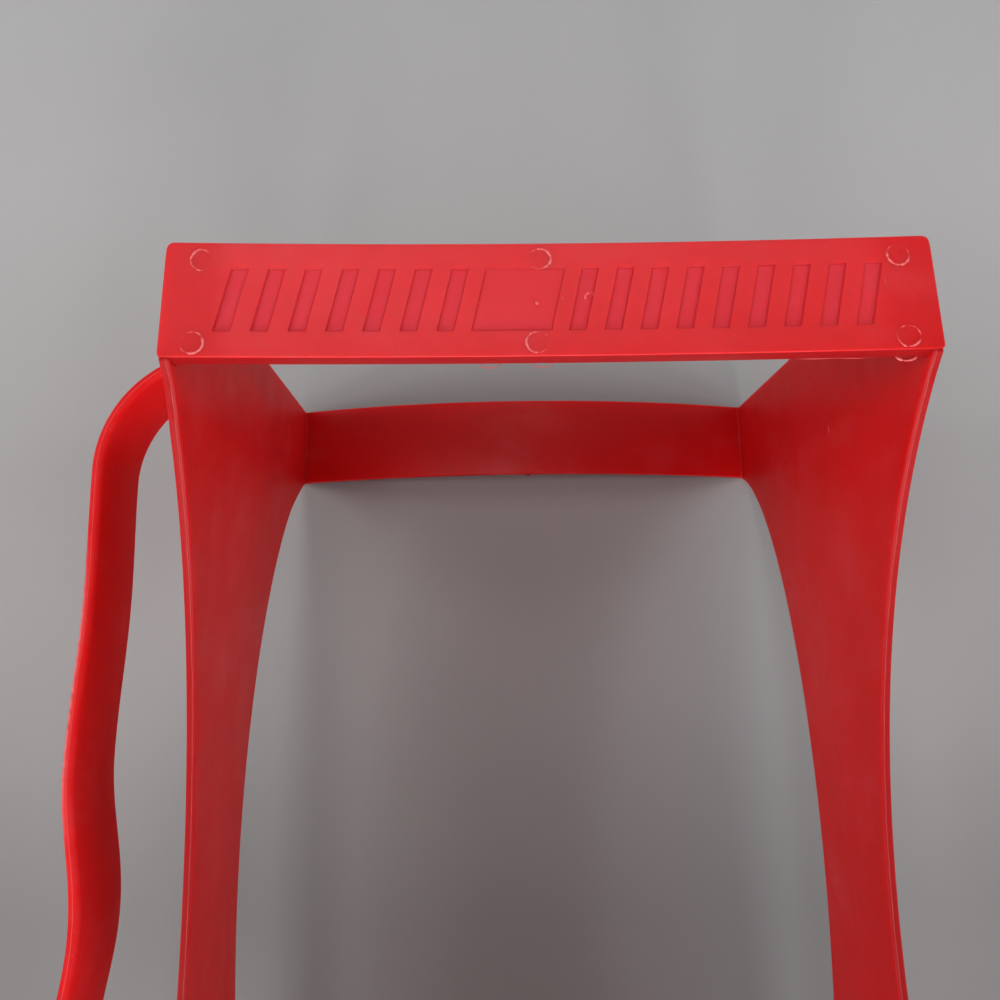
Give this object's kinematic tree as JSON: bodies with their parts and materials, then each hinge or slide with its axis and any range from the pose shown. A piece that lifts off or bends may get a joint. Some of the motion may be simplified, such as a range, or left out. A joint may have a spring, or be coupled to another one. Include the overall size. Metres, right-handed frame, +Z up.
{
  "type": "milk carton carrier",
  "caption": "Moulded plastic carrier for a half-gallon gable-top milk carton: square collar, hourglass side straps, strap handle and a shallow tray for its base.",
  "frame": {"origin": "on the underside of the floor, under the middle of the carton", "axes": "+Z up along the carton, -Y towards the front band with the sunk panel, -X towards the handle"},
  "size_m": [0.1258, 0.1014, 0.186],
  "materials": {
    "red_plastic": "semi-gloss moulded red"
  },
  "bodies": {
    "root": {"front_band": "red_plastic", "rear_band": "red_plastic", "left_side_strap": "red_plastic", "right_side_strap": "red_plastic", "handle_strap": "red_plastic", "base_front_band": "red_plastic", "base_rear_band": "red_plastic", "base_floor": "red_plastic"}
  },
  "joints": []
}
